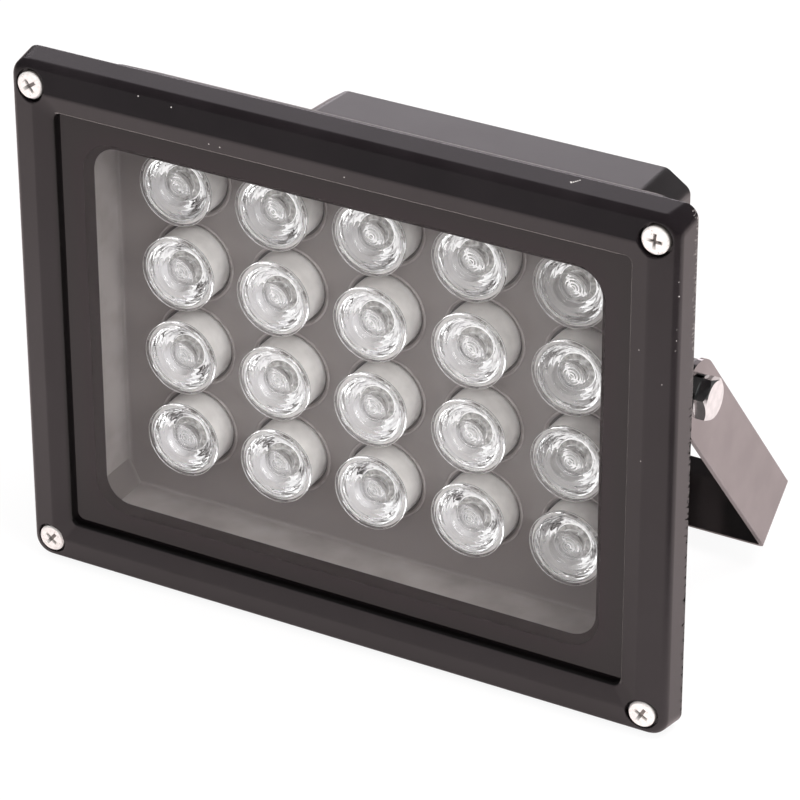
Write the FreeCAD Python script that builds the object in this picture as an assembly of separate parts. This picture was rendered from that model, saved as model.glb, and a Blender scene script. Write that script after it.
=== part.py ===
# Infrared illuminator: a cast lamp head that tilts on two bolts in a U-shaped strap bracket.
# Millimetres. The lamp stands upright and faces -Y, X runs along its width and +Z is up.
# The origin is the bracket's middle hole, on the face that lies against the wall.
import FreeCAD, Part
import math
import os

os.makedirs("parts", exist_ok=True)
V = FreeCAD.Vector

# Depths below are measured back from the crest of the front frame's face,
# and widths and heights from the middle of the lamp.

# Front frame
frame_width = 180.0
frame_height = 140.0
frame_corner = 5.0
frame_depth = 10.0
frame_edge_round = 2.2
skirt_flare = 0.4
skirt_corner = 3.6
skirt_wall = 2.4
edge_drop = 1.9
crest_inset = 6.9
crest_flat = 0.5
crest_corner = 3.0
lip_inset = 12.1
lip_drop = 1.4
lip_corner = 2.0
lip_edge_round = 0.8

# Corner screws, M4 with a cross recess, each stopped at its own turn
screw_inset = 6.0
screw_radius = 2.0
screw_length = 10.0
screw_head_radius = 3.5
screw_head_height = 2.2
screw_face_radius = 3.1
screw_edge_drop = 0.4
screw_crown = 0.15
screw_pocket_radius = 4.2
screw_pocket_depth = 2.6
screw_post_radius = 5.4
cross_width = 0.9
cross_length = 4.2
cross_bottom_length = 1.8
cross_depth = 1.3
cross_turns = {"top_left": 55.0, "top_right": 3.0, "bottom_left": 40.0, "bottom_right": 30.0}

# Glass, its printed border and its gasket
glass_front = 3.0
glass_thickness = 3.6
glass_overlap = 3.1
glass_corner = 4.0
print_thickness = 0.13
print_margin = 0.8
border_side = 8.7
border_top = 7.9
window_corner = 7.0
gasket_thickness = 1.85
gasket_margin = 0.5

# Rear housing: flange, pan, fins, driver box and side ears
flange_gap = 0.4
flange_thickness = 3.4
pan_inset_x = 9.4
pan_inset_z = 7.8
pan_wall = 3.6
pan_corner = 6.0
pan_shoulder_depth = 26.6
pan_shoulder_inset_x = 1.0
pan_shoulder_inset_z = 0.9
pan_back_depth = 33.4
pan_back_inset_x = 6.0
pan_back_inset_z = 4.5
pan_floor_wall = 3.0
box_width = 104.4
box_height = 70.0
box_back_depth = 87.5
box_bevel_x = 6.5
box_bevel_z = 4.5
box_edge_round = 3.0
box_draft = 3.0
box_wall = 3.0
fin_count = 19
fin_margin = 1.6
fin_thickness = 2.0
fin_tip_depth = 43.0
fin_root_inset = 1.7
fin_tip_inset = 7.7
ear_length = 16.8
ear_radius = 8.5
post_radius = 3.5
post_length = 8.0
post_x = 34.0
post_z = 20.0

# Reflector tray and LED board
tray_sheet = 0.8
tray_front_depth = 8.9
tray_floor_depth = 28.0
tray_bevel_x = 3.4
tray_bevel_z = 6.7
tray_gap = 0.2
tray_hole_gap = 0.7
board_inset_x = 3.5
board_inset_z = 1.1
board_thickness = 1.6
board_corner = 3.0
board_gap = 0.7

# Lenses, holders and emitters: five columns and four rows
columns = 5
rows = 4
column_pitch = 27.2
row_pitch = 23.7
lens_front_depth = 19.2
lens_rim_radius = 10.0
lens_rim_thickness = 1.6
lens_cone_front_radius = 8.7
lens_cone_back_radius = 4.6
lens_cone_length = 6.2
lens_well_radius = 4.2
lens_well_depth = 2.4
lens_socket_radius = 3.2
lens_socket_length = 3.6
holder_radius = 9.5
holder_wall = 0.65
holder_base_thickness = 1.4
holder_base_gap = 0.2
emitter_base_radius = 4.7
emitter_base_height = 1.2
emitter_dome_radius = 2.6

# Driver board and what it carries
driver_width = 80.0
driver_height = 52.0
driver_thickness = 1.6
driver_corner = 2.0
transformer_size = (24.0, 18.0, 20.0)
transformer_place = (-14.0, 4.0)
capacitor_radius = 6.0
capacitor_length = 21.0
capacitor_place = (20.0, -10.0)
driver_screw_radius = 1.25
driver_screw_head_radius = 2.6
driver_screw_head_height = 1.8
driver_screw_length = 7.0
lead_radius = 0.9
lead_places = ((36.0, 10.0), (36.0, 6.0))

# Cable gland in the underside of the driver box
gland_depth = 68.0
gland_pad_radius = 10.0
gland_pad_height = 2.4
gland_thread_radius = 6.0
gland_thread_length = 6.0
gland_hex_across = 16.0
gland_hex_height = 5.0
gland_spigot_radius = 6.2
gland_spigot_length = 6.0
gland_bore_radius = 3.6
gland_seal_radius = 4.9
gland_seal_bore = 3.2
gland_nut_across = 16.0
gland_nut_wall = 1.6
gland_nut_length = 10.5

# U-bracket of strap, and the hinge line through its arms
hinge_depth = 42.0
hinge_height = 1.5
arm_gap = 1.4
strap_width = 18.2
strap_thickness = 1.2
strap_bend_radius = 0.8
arm_length = 79.0
arm_lean = 39.9
arm_hole_radius = 3.3
mount_hole_radius = 4.25
side_hole_radius = 3.25
side_hole_spacing = 60.0

# Pivot bolts, M6 hex head, with a spring washer under each head
bolt_radius = 3.0
bolt_length = 16.0
bolt_across = 10.0
bolt_head_height = 3.2
bolt_chamfer = 0.7
bolt_face_radius = 4.8
bolt_turn = 10.0
washer_outer_radius = 5.4
washer_thickness = 1.2
washer_split = 1.2

# Fits
thread_gap = 0.05
face_gap = 0.1
print_gap = 0.02

# How far a cut reaches past a face, how far fins, ears and posts reach into the casting,
# and how near to a depth or a length an edge lies to be picked for rounding
past = 1.0
root_sink = 1.5
tolerance = 1e-4

# Worked out from the sizes above
lip_width = frame_width - 2 * lip_inset
lip_height = frame_height - 2 * lip_inset
glass_width = lip_width + 2 * glass_overlap
glass_height = lip_height + 2 * glass_overlap
window_width = lip_width - 2 * border_side
window_height = lip_height - 2 * border_top
glass_back = glass_front + glass_thickness
print_front = glass_back + print_gap
print_back = print_front + print_thickness
flange_front = print_back + gasket_thickness
flange_back = flange_front + flange_thickness
flange_width = frame_width - 2 * (skirt_wall + flange_gap)
flange_height = frame_height - 2 * (skirt_wall + flange_gap)
flange_corner = frame_corner - skirt_wall - flange_gap
tray_back_depth = tray_floor_depth + tray_sheet
tray_hole_radius = holder_radius + tray_hole_gap
holder_base_hole_radius = emitter_base_radius + holder_base_gap
pan_width = frame_width - 2 * pan_inset_x
pan_height = frame_height - 2 * pan_inset_z
pan_inner_width = pan_width - 2 * pan_wall
pan_inner_height = pan_height - 2 * pan_wall
pan_back_width = pan_width - 2 * pan_back_inset_x
pan_back_height = pan_height - 2 * pan_back_inset_z
fin_pitch = (pan_back_width - 2 * fin_margin - fin_thickness) / (fin_count - 1)
tray_outer_width = pan_inner_width - 2 * tray_gap
tray_outer_height = pan_inner_height - 2 * tray_gap
tray_inner_width = tray_outer_width - 2 * tray_sheet
tray_inner_height = tray_outer_height - 2 * tray_sheet
board_width = tray_inner_width - 2 * board_inset_x
board_height = tray_inner_height - 2 * board_inset_z
board_back_depth = tray_back_depth + board_thickness
lens_rim_back = lens_front_depth + lens_rim_thickness
lens_cone_back = lens_rim_back + lens_cone_length
box_inner_back = box_back_depth - box_wall
driver_back = box_inner_back - post_length
driver_front = driver_back - driver_thickness
arm_inner_x = pan_back_width / 2 + arm_gap
arm_outer_x = arm_inner_x + strap_thickness
ear_outer_x = arm_inner_x - face_gap
gland_pad_bottom = -(box_height / 2 + gland_pad_height)
gland_neck_top = gland_pad_bottom + gland_thread_length
gland_hex_bottom = gland_pad_bottom - gland_hex_height
gland_spigot_bottom = gland_hex_bottom - gland_spigot_length
lean = math.radians(arm_lean)
mount_point = V(0, hinge_depth + arm_length * math.sin(lean),
                hinge_height - arm_length * math.cos(lean))


def rounded_rectangle(width, height, corner, depth):
    """Closed wire in the XZ plane at the given depth, with round corners."""
    edges = []
    starts = []
    arcs = []
    for quarter, (side_x, side_z) in enumerate(((1, 1), (-1, 1), (-1, -1), (1, -1))):
        centre = V(side_x * (width / 2 - corner), depth, side_z * (height / 2 - corner))
        points = []
        for step in range(3):
            angle = math.radians(90 * quarter + 45 * step)
            points.append(centre + V(corner * math.cos(angle), 0, corner * math.sin(angle)))
        arcs.append(points)
        starts.append(points[0])
    for quarter, points in enumerate(arcs):
        edges.append(Part.Arc(*points).toShape())
        edges.append(Part.makeLine(points[2], starts[(quarter + 1) % len(arcs)]))
    return Part.Wire(edges)


def beveled_rectangle(width, height, bevel_x, bevel_z, depth):
    """Closed wire in the XZ plane at the given depth, with straight bevels at the corners."""
    x = width / 2
    z = height / 2
    corners = [(x, z - bevel_z), (x - bevel_x, z), (bevel_x - x, z), (-x, z - bevel_z),
               (-x, bevel_z - z), (bevel_x - x, -z), (x - bevel_x, -z), (x, bevel_z - z)]
    points = [V(px, depth, pz) for px, pz in corners]
    return Part.makePolygon(points + points[:1])


def loft(wires):
    """Solid with straight sides through the wires."""
    return Part.makeLoft(wires, True, True)


def slab(width, height, corner, front, back):
    """Flat plate with round corners between two depths."""
    return loft([rounded_rectangle(width, height, corner, front),
                 rounded_rectangle(width, height, corner, back)])


def rod(x, z, radius, front, back):
    """Cylinder along the depth."""
    return Part.makeCylinder(radius, back - front, V(x, front, z), V(0, 1, 0))


def turned(profile, x=0.0, z=0.0):
    """Solid turned about a depth-wise axis, from (radius, depth) points."""
    points = [V(radius, depth, 0) for radius, depth in profile]
    face = Part.Face(Part.makePolygon(points + points[:1]))
    solid = face.revolve(V(0, 0, 0), V(0, 1, 0), 360)
    solid.translate(V(x, 0, z))
    return solid


def hexagon(across, start, direction, length, turn=0.0):
    """Hexagonal prism along a unit direction, with one point turned by an angle."""
    radius = across / math.sqrt(3)
    first = V(0, 0, 1) if abs(direction.z) < 0.5 else V(1, 0, 0)
    second = direction.cross(first)
    points = []
    for side in range(6):
        angle = math.radians(60 * side + turn)
        points.append(start + first * (radius * math.cos(angle)) + second * (radius * math.sin(angle)))
    return Part.Face(Part.makePolygon(points + points[:1])).extrude(direction * length)


def edges_at_depth(solid, depth):
    """Edges that lie wholly at one depth."""
    return [edge for edge in solid.Edges
            if all(abs(vertex.Point.y - depth) < tolerance for vertex in edge.Vertexes)]


def edges_across_strap(solid, height):
    """Edges that lie wholly at one height and run across the strap."""
    return [edge for edge in solid.Edges
            if all(abs(vertex.Point.z - height) < tolerance for vertex in edge.Vertexes)
            and abs(edge.Length - strap_width) < tolerance]


def screw_places():
    """Name and place of each corner screw."""
    x = frame_width / 2 - screw_inset
    z = frame_height / 2 - screw_inset
    return {"top_left": (-x, z), "top_right": (x, z), "bottom_left": (-x, -z), "bottom_right": (x, -z)}


def lens_places():
    """Name and place of each lens, row 1 at the top and column 1 at the left."""
    places = {}
    for row in range(rows):
        for column in range(columns):
            x = (column - (columns - 1) / 2) * column_pitch
            z = ((rows - 1) / 2 - row) * row_pitch
            places["r%dc%d" % (row + 1, column + 1)] = (x, z)
    return places


def make_front_frame():
    """Cast frame: crowned face, stepped opening, skirt and four screw pockets."""
    crest_width = frame_width - 2 * crest_inset
    crest_height = frame_height - 2 * crest_inset
    frame = loft([
        rounded_rectangle(frame_width + 2 * skirt_flare, frame_height + 2 * skirt_flare,
                          skirt_corner, frame_depth),
        rounded_rectangle(frame_width, frame_height, frame_corner, edge_drop),
        rounded_rectangle(crest_width, crest_height, crest_corner, 0)])
    frame = frame.makeFillet(frame_edge_round, edges_at_depth(frame, edge_drop))
    frame = frame.cut(loft([
        rounded_rectangle(crest_width - 2 * crest_flat, crest_height - 2 * crest_flat, crest_corner, 0),
        rounded_rectangle(lip_width, lip_height, lip_corner, lip_drop)]))
    frame = frame.cut(slab(lip_width, lip_height, lip_corner, 0, glass_front))
    frame = frame.makeFillet(lip_edge_round, edges_at_depth(frame, lip_drop))
    frame = frame.cut(slab(frame_width - 2 * skirt_wall, frame_height - 2 * skirt_wall,
                           frame_corner - skirt_wall, glass_front, frame_depth))
    for x, z in screw_places().values():
        frame = frame.fuse(rod(x, z, screw_post_radius, glass_front, flange_front))
    for x, z in screw_places().values():
        frame = frame.cut(rod(x, z, screw_pocket_radius, -past, screw_pocket_depth))
        frame = frame.cut(rod(x, z, screw_radius + thread_gap, -past, flange_front + past))
    return frame


def cross_slot(top):
    """One bar of a cross recess, shorter at its bottom, from a little in front of the screw's face."""
    side = cross_width / 2
    points = [V(-cross_length / 2, top - past, -side), V(cross_length / 2, top - past, -side),
              V(cross_length / 2, top, -side), V(cross_bottom_length / 2, top + cross_depth, -side),
              V(-cross_bottom_length / 2, top + cross_depth, -side), V(-cross_length / 2, top, -side)]
    return Part.Face(Part.makePolygon(points + points[:1])).extrude(V(0, 0, cross_width))


def make_corner_screw(x, z, turn):
    """Pan-head screw with a cross recess that narrows towards its bottom."""
    top = screw_pocket_depth - screw_head_height
    screw = turned([(0, top), (screw_face_radius, top + screw_crown),
                    (screw_head_radius, top + screw_crown + screw_edge_drop),
                    (screw_head_radius, screw_pocket_depth), (screw_radius, screw_pocket_depth),
                    (screw_radius, screw_pocket_depth + screw_length),
                    (0, screw_pocket_depth + screw_length)], x, z)
    for quarter in (0, 90):
        slot = cross_slot(top)
        slot.translate(V(x, 0, z))
        slot.rotate(V(x, 0, z), V(0, 1, 0), turn + quarter)
        screw = screw.cut(slot)
    return screw


def make_glass():
    """Plain front pane."""
    return slab(glass_width, glass_height, glass_corner, glass_front, glass_back)


def make_printed_border():
    """Enamel border on the back of the pane, round the clear window."""
    border = slab(glass_width - 2 * print_margin, glass_height - 2 * print_margin,
                  glass_corner - print_margin, print_front, print_back)
    return border.cut(slab(window_width, window_height, window_corner, print_front, print_back))


def make_gasket():
    """Flat ring between pane and housing."""
    ring = slab(glass_width - 2 * gasket_margin, glass_height - 2 * gasket_margin,
                glass_corner - gasket_margin, print_back, flange_front)
    return ring.cut(slab(pan_inner_width, pan_inner_height, tray_bevel_x, print_back, flange_front))


def box_section(inset, depth):
    """Beveled section of the driver box, wider towards the front by its draft."""
    grow = (box_back_depth - depth) * math.tan(math.radians(box_draft))
    return beveled_rectangle(box_width + 2 * (grow - inset), box_height + 2 * (grow - inset),
                              box_bevel_x, box_bevel_z, depth)


def make_driver_box():
    """Outer form of the box behind the pan, with rounded long edges."""
    box = loft([box_section(0, pan_back_depth - pan_floor_wall), box_section(0, box_back_depth)])
    long_edges = [edge for edge in box.Edges if edge.BoundBox.YLength > box_wall]
    return box.makeFillet(box_edge_round, long_edges)


def make_fins():
    """Upright cooling fins on the back of the pan."""
    fins = []
    root = pan_back_depth - root_sink
    root_z = pan_back_height / 2 - fin_root_inset
    tip_z = pan_back_height / 2 - fin_tip_inset
    for index in range(fin_count):
        x = (index - (fin_count - 1) / 2) * fin_pitch - fin_thickness / 2
        points = [V(x, root, root_z), V(x, fin_tip_depth, tip_z),
                  V(x, fin_tip_depth, -tip_z), V(x, root, -root_z)]
        fins.append(Part.Face(Part.makePolygon(points + points[:1])).extrude(V(fin_thickness, 0, 0)))
    return fins


def make_ear(side):
    """Solid ear that takes a pivot bolt, with a round end on the hinge line."""
    start = V(side * (ear_outer_x - ear_length), hinge_depth, hinge_height)
    outward = V(side, 0, 0)
    ear = Part.makeCylinder(ear_radius, ear_length, start, outward)
    root = Part.makeBox(ear_length, hinge_depth - pan_back_depth + root_sink, 2 * ear_radius,
                        V(min(start.x, side * ear_outer_x), pan_back_depth - root_sink,
                          hinge_height - ear_radius))
    return ear.fuse(root)


def make_rear_housing():
    """Casting: flange, pan with sloped shoulders, fins, driver box, ears and board posts."""
    housing = slab(flange_width, flange_height, flange_corner, flange_front, flange_back)
    pan = loft([
        rounded_rectangle(pan_width, pan_height, pan_corner, flange_back),
        rounded_rectangle(pan_width - 2 * pan_shoulder_inset_x, pan_height - 2 * pan_shoulder_inset_z,
                          pan_corner, pan_shoulder_depth),
        rounded_rectangle(pan_back_width, pan_back_height, pan_corner, pan_back_depth)])
    housing = housing.fuse([pan, make_driver_box(), make_ear(-1), make_ear(1)] + make_fins())
    housing = housing.fuse(down_rod(gland_pad_radius, gland_pad_bottom + box_wall, gland_pad_bottom))
    housing = housing.cut(slab(pan_inner_width, pan_inner_height, tray_bevel_x,
                               flange_front, tray_back_depth))
    housing = housing.cut(slab(board_width + 2 * board_gap, board_height + 2 * board_gap, board_corner,
                               tray_back_depth, board_back_depth))
    housing = housing.cut(loft([box_section(box_wall, board_back_depth),
                                box_section(box_wall, box_inner_back)]))
    for side_x in (-1, 1):
        for side_z in (-1, 1):
            x = side_x * post_x
            z = side_z * post_z
            housing = housing.fuse(rod(x, z, post_radius, driver_back, box_inner_back + root_sink))
            housing = housing.cut(rod(x, z, driver_screw_radius + thread_gap,
                                      driver_back, box_inner_back))
    for x, z in screw_places().values():
        housing = housing.cut(rod(x, z, screw_radius + thread_gap,
                                  flange_front - past, flange_back + past))
    for side in (-1, 1):
        mouth = V(side * ear_outer_x, hinge_depth, hinge_height)
        hole = Part.makeCylinder(bolt_radius + thread_gap, bolt_length, mouth, V(-side, 0, 0))
        housing = housing.cut(hole)
    housing = housing.cut(down_rod(gland_thread_radius + thread_gap,
                                   gland_neck_top, gland_pad_bottom - past))
    return housing.removeSplitter()


def make_reflector_tray():
    """Folded sheet tray with beveled corners and a round hole for each lens holder."""
    tray = loft([beveled_rectangle(tray_outer_width, tray_outer_height, tray_bevel_x, tray_bevel_z, depth)
                 for depth in (tray_front_depth, tray_back_depth)])
    tray = tray.cut(loft([
        beveled_rectangle(tray_inner_width, tray_inner_height, tray_bevel_x, tray_bevel_z, depth)
        for depth in (tray_front_depth, tray_floor_depth)]))
    for x, z in lens_places().values():
        tray = tray.cut(rod(x, z, tray_hole_radius, tray_floor_depth - past, tray_back_depth + past))
    return tray


def make_led_board():
    """Metal-core board behind the tray."""
    return slab(board_width, board_height, board_corner - board_gap, tray_back_depth, board_back_depth)


def make_emitter(x, z):
    """Infrared emitter: round base and clear dome."""
    base_front = tray_back_depth - emitter_base_height
    base = rod(x, z, emitter_base_radius, base_front, tray_back_depth)
    return base.fuse(Part.makeSphere(emitter_dome_radius, V(x, base_front, z), V(0, -1, 0), 0, 90))


def make_lens(x, z):
    """Clear collimator: rim, cone, round well in front and socket over the emitter."""
    return turned([(0, lens_front_depth + lens_well_depth),
                   (lens_well_radius, lens_front_depth + lens_well_depth),
                   (lens_well_radius, lens_front_depth), (lens_rim_radius, lens_front_depth),
                   (lens_rim_radius, lens_rim_back), (lens_cone_front_radius, lens_rim_back),
                   (lens_cone_back_radius, lens_cone_back), (lens_socket_radius, lens_cone_back),
                   (lens_socket_radius, lens_cone_back - lens_socket_length),
                   (0, lens_cone_back - lens_socket_length)], x, z)


def make_lens_holder(x, z):
    """White cup that carries a lens over its emitter."""
    base_front = tray_back_depth - holder_base_thickness
    inner = holder_radius - holder_wall
    return turned([(inner, lens_rim_back), (holder_radius, lens_rim_back), (holder_radius, tray_back_depth),
                   (holder_base_hole_radius, tray_back_depth), (holder_base_hole_radius, base_front),
                   (inner, base_front)], x, z)


def make_driver_board():
    """Circuit board on the four posts."""
    board = slab(driver_width, driver_height, driver_corner, driver_front, driver_back)
    for side_x in (-1, 1):
        for side_z in (-1, 1):
            board = board.cut(rod(side_x * post_x, side_z * post_z, driver_screw_radius + thread_gap,
                                  driver_front, driver_back))
    return board


def make_transformer():
    """Wound block that stands on the board."""
    width, length, height = transformer_size
    x, z = transformer_place
    return Part.makeBox(width, length, height, V(x - width / 2, driver_front - length, z - height / 2))


def make_capacitor():
    """Round capacitor that stands on the board."""
    return rod(*capacitor_place, capacitor_radius, driver_front - capacitor_length, driver_front)


def make_driver_screw(x, z):
    """Small screw through the board into a post."""
    head_front = driver_front - driver_screw_head_height
    return turned([(0, head_front), (driver_screw_head_radius, head_front),
                   (driver_screw_head_radius, driver_front), (driver_screw_radius, driver_front),
                   (driver_screw_radius, driver_front + driver_screw_length),
                   (0, driver_front + driver_screw_length)], x, z)


def make_leads():
    """Two insulated leads from the driver board to the LED board."""
    return [rod(x, z, lead_radius, board_back_depth, driver_front) for x, z in lead_places]


def down_rod(radius, top, bottom):
    """Cylinder on the gland's upright axis."""
    return Part.makeCylinder(radius, top - bottom, V(0, gland_depth, bottom))


def make_gland_body():
    """Threaded neck, hexagon and spigot of the cable gland, with its bore."""
    body = hexagon(gland_hex_across, V(0, gland_depth, gland_hex_bottom), V(0, 0, 1),
                   gland_hex_height)
    body = body.fuse(down_rod(gland_thread_radius, gland_neck_top, gland_pad_bottom))
    body = body.fuse(down_rod(gland_spigot_radius, gland_hex_bottom, gland_spigot_bottom))
    body = body.cut(down_rod(gland_bore_radius, gland_neck_top, gland_spigot_bottom))
    return body.cut(down_rod(gland_seal_radius + thread_gap, gland_hex_bottom, gland_spigot_bottom))


def make_gland_seal():
    """Rubber sleeve that grips the cord."""
    sleeve = down_rod(gland_seal_radius, gland_hex_bottom, gland_spigot_bottom)
    return sleeve.cut(down_rod(gland_seal_bore, gland_hex_bottom, gland_spigot_bottom))


def make_gland_nut():
    """Clamping nut with a closed end round the cord hole."""
    top = gland_hex_bottom - face_gap
    bottom = top - gland_nut_length
    hex_length = gland_nut_length - 2 * gland_nut_wall
    nut = hexagon(gland_nut_across, V(0, gland_depth, top - hex_length), V(0, 0, 1), hex_length)
    nose = Part.makeCone(gland_bore_radius + gland_nut_wall, gland_nut_across / 2, 2 * gland_nut_wall,
                         V(0, gland_depth, bottom))
    nut = nut.fuse(nose)
    nut = nut.cut(down_rod(gland_spigot_radius + thread_gap, top, gland_spigot_bottom - face_gap))
    return nut.cut(down_rod(gland_bore_radius, top, bottom))


def make_bracket():
    """Strap bent to a U, drawn upright with its hinge at the origin, then leaned into place."""
    outer = arm_outer_x
    inner = arm_inner_x
    base_top = strap_thickness - arm_length
    strap = Part.makeBox(2 * outer, strap_width, arm_length + strap_width,
                         V(-outer, -strap_width / 2, -arm_length))
    strap = strap.makeFillet(strap_bend_radius + strap_thickness,
                             edges_across_strap(strap, -arm_length))
    room = Part.makeBox(2 * inner, strap_width, arm_length + strap_width,
                        V(-inner, -strap_width / 2, base_top))
    strap = strap.cut(room.makeFillet(strap_bend_radius, edges_across_strap(room, base_top)))
    round_end = Part.makeCylinder(strap_width / 2, 2 * outer, V(-outer, 0, 0), V(1, 0, 0))
    straight = Part.makeBox(2 * outer, strap_width, arm_length, V(-outer, -strap_width / 2, -arm_length))
    strap = strap.common(straight.fuse(round_end))
    strap = strap.cut(Part.makeCylinder(arm_hole_radius, 2 * outer, V(-outer, 0, 0), V(1, 0, 0)))
    holes = ((0, mount_hole_radius), (-side_hole_spacing / 2, side_hole_radius),
             (side_hole_spacing / 2, side_hole_radius))
    for x, radius in holes:
        strap = strap.cut(Part.makeCylinder(radius, strap_thickness, V(x, 0, -arm_length)))
    strap.rotate(V(0, 0, 0), V(1, 0, 0), arm_lean)
    strap.translate(V(0, hinge_depth, hinge_height))
    return strap


def make_pivot_bolt(side):
    """Hex bolt through an arm into an ear, its head chamfered on the outer face."""
    seat = arm_outer_x + washer_thickness
    outward = V(side, 0, 0)
    start = V(side * seat, hinge_depth, hinge_height)
    head = hexagon(bolt_across, start, outward, bolt_head_height, bolt_turn)
    point_radius = bolt_across / math.sqrt(3)
    crown = Part.makeCylinder(point_radius, bolt_head_height - bolt_chamfer, start, outward)
    crown = crown.fuse(Part.makeCone(point_radius, bolt_face_radius, bolt_chamfer,
                                     start + outward * (bolt_head_height - bolt_chamfer), outward))
    return head.common(crown).fuse(Part.makeCylinder(bolt_radius, bolt_length, start, outward * -1))


def make_spring_washer(side):
    """Split ring between bolt head and arm."""
    start = V(side * arm_outer_x, hinge_depth, hinge_height)
    outward = V(side, 0, 0)
    ring = Part.makeCylinder(washer_outer_radius, washer_thickness, start, outward)
    ring = ring.cut(Part.makeCylinder(bolt_radius + face_gap, washer_thickness, start, outward))
    split = Part.makeBox(2 * washer_thickness, washer_split, washer_outer_radius + past)
    split.translate(V(side * arm_outer_x - washer_thickness, hinge_depth - washer_split / 2,
                      hinge_height))
    return ring.cut(split)


def keep(name, *solids):
    """Move finished solids into the frame of the bracket's middle hole and write them."""
    shape = solids[0] if len(solids) == 1 else Part.makeCompound(list(solids))
    shape.translate(mount_point * -1)
    shape.exportStep("parts/" + name + ".step")
    print(name, "valid" if shape.isValid() else "NOT VALID", len(shape.Solids), round(shape.Volume, 1))


keep("front_frame", make_front_frame())
keep("corner_screws", *[make_corner_screw(x, z, cross_turns[name])
                        for name, (x, z) in screw_places().items()])
keep("front_glass", make_glass())
keep("printed_border", make_printed_border())
keep("glass_gasket", make_gasket())
keep("rear_housing", make_rear_housing())
keep("reflector_tray", make_reflector_tray())
keep("led_board", make_led_board())
keep("led_emitters", *[make_emitter(x, z) for x, z in lens_places().values()])
for place_name, (lens_x, lens_z) in lens_places().items():
    keep("lens_" + place_name, make_lens(lens_x, lens_z))
    keep("lens_holder_" + place_name, make_lens_holder(lens_x, lens_z))
keep("driver_board", make_driver_board())
keep("driver_transformer", make_transformer())
keep("driver_capacitor", make_capacitor())
keep("driver_screws", *[make_driver_screw(side_x * post_x, side_z * post_z)
                        for side_x in (-1, 1) for side_z in (-1, 1)])
keep("led_leads", *make_leads())
keep("gland_body", make_gland_body())
keep("gland_seal", make_gland_seal())
keep("gland_nut", make_gland_nut())
keep("u_bracket", make_bracket())
keep("pivot_bolts", make_pivot_bolt(-1), make_pivot_bolt(1))
keep("spring_washers", make_spring_washer(-1), make_spring_washer(1))
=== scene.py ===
import bpy
import math
from mathutils import Euler, Matrix, Vector


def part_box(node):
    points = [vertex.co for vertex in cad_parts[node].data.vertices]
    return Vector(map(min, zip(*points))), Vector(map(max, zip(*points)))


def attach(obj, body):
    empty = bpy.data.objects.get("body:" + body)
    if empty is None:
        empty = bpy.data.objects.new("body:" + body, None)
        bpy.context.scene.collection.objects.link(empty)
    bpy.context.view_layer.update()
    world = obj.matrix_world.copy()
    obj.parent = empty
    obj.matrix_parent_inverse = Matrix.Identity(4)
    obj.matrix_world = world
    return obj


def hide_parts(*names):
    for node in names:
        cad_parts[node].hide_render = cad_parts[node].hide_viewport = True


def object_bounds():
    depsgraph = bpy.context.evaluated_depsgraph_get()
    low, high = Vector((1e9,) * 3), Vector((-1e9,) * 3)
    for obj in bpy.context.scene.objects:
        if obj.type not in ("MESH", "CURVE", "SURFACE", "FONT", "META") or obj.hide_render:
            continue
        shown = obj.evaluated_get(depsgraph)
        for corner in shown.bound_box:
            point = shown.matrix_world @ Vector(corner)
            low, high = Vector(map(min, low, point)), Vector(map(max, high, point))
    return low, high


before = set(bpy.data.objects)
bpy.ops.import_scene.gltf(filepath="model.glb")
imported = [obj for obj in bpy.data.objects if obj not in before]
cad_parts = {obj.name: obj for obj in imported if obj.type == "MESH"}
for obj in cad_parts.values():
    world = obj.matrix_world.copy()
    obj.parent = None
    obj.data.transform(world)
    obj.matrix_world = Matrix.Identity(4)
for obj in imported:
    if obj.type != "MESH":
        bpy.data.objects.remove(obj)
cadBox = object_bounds()
print("frame loaded:", len(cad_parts), "nodes")

# Places are written as on the lamp: x across, depth behind the crest of the front face, z up from the middle.
frameLow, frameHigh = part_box("front_frame")
middleZ = (frameLow.z + frameHigh.z) / 2
mm = 0.001


def lampPlace(x, depth, z):
    return Vector((x * mm, frameLow.y + depth * mm, middleZ + z * mm))


def srgb(code):
    # the linear colour of a hex code
    levels = [int(code[start:start + 2], 16) / 255 for start in (1, 3, 5)]
    linear = [level / 12.92 if level <= 0.04045 else ((level + 0.055) / 1.055) ** 2.4 for level in levels]
    return linear + [1.0]


def perMm(size):
    return 1 / (size * mm)  # pattern scale for features of that many millimetres


# a Mix node has sockets of one name for each kind of data, so those for colours go by number
mixFirst, mixSecond, mixResult = 6, 7, 2


def addNode(tree, kind, sockets=None, **settings):
    # a socket takes a value, or a link from an output or from a node's first output
    node = tree.nodes.new("ShaderNode" + kind)
    for name, value in settings.items():
        setattr(node, name, value)
    for name, value in (sockets or {}).items():
        if isinstance(value, bpy.types.Node):
            value = value.outputs[0]
        if isinstance(value, bpy.types.NodeSocket):
            tree.links.new(value, node.inputs[name])
        else:
            node.inputs[name].default_value = value
    return node


def newMaterial(name, colour, roughness, sockets=None):
    material = bpy.data.materials.new(name)
    material.use_nodes = True
    tree = material.node_tree
    shader = tree.nodes["Principled BSDF"]
    for socket, value in {"Base Color": srgb(colour), "Roughness": roughness, **(sockets or {})}.items():
        shader.inputs[socket].default_value = value
    place = addNode(tree, "TexCoord").outputs["Object"]
    return material, tree, shader, place


def addGrain(tree, shader, place, size, depth, detail=2.0):
    # a fine uneven skin: size across and depth in millimetres
    noise = addNode(tree, "TexNoise", {"Vector": place, "Scale": perMm(size), "Detail": detail})
    bump = addNode(tree, "Bump", {"Height": noise, "Strength": 1.0, "Distance": depth * mm})
    tree.links.new(bump.outputs["Normal"], shader.inputs["Normal"])
    return bump


patchValues = {
    "detail": 3.0,
    "colourSteps": (0.35, 0.65),  # where in the noise the darker and the lighter colour lie
    "roughnessSteps": (0.3, 0.7),
}


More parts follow.
